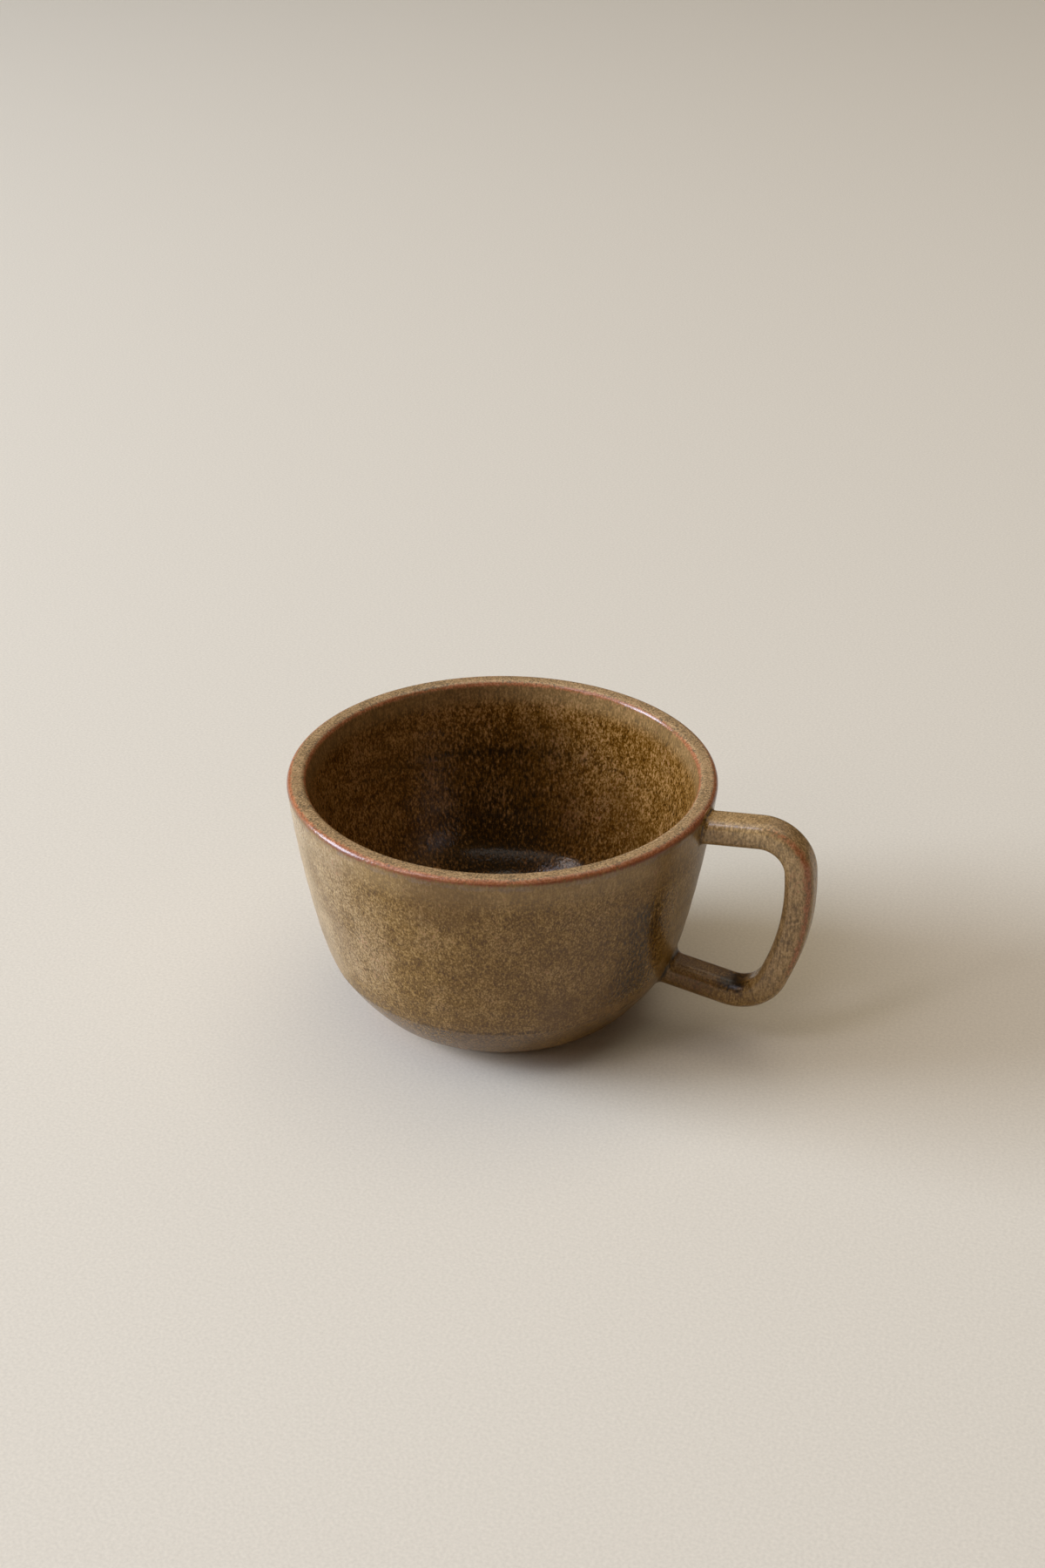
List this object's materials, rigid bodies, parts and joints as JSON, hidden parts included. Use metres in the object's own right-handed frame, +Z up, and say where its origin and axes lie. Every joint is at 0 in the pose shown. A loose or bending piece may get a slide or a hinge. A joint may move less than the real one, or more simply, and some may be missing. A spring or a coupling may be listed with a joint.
{
  "type": "cappuccino cup",
  "caption": "Stoneware cappuccino cup with a flared wall, rounded lip, turned bare foot and a squared loop handle, coated in speckled olive-brown glaze with an amber inside.",
  "frame": {"origin": "centre of the foot ring on the surface that the cup stands on, on the axis of the cup", "axes": "+Z up along the axis of the cup, +X from the axis towards the handle"},
  "size_m": [0.1259, 0.1, 0.0611],
  "materials": {
    "stoneware": "bare fired clay, turned smooth",
    "slip": "fired slip under the glaze",
    "inside_glaze": "glossy amber-brown glaze with tan speckle",
    "rim_glaze": "satin pale beige glaze that breaks rust-red at the edges",
    "outside_glaze": "satin olive-brown glaze with fine tan and brown runs",
    "handle_glaze": "satin olive-brown glaze that breaks rust-red at the edges",
    "joint_glaze": "glossy dark pooled glaze"
  },
  "bodies": {
    "root": {"clay_body": "stoneware", "clay_handle": "stoneware", "upper_slip_seam": "slip", "lower_slip_seam": "slip", "inside_glaze": "inside_glaze", "rim_glaze": "rim_glaze", "outside_glaze": "outside_glaze", "handle_glaze": "handle_glaze", "upper_joint_glaze": "joint_glaze", "lower_joint_glaze": "joint_glaze"}
  },
  "joints": []
}
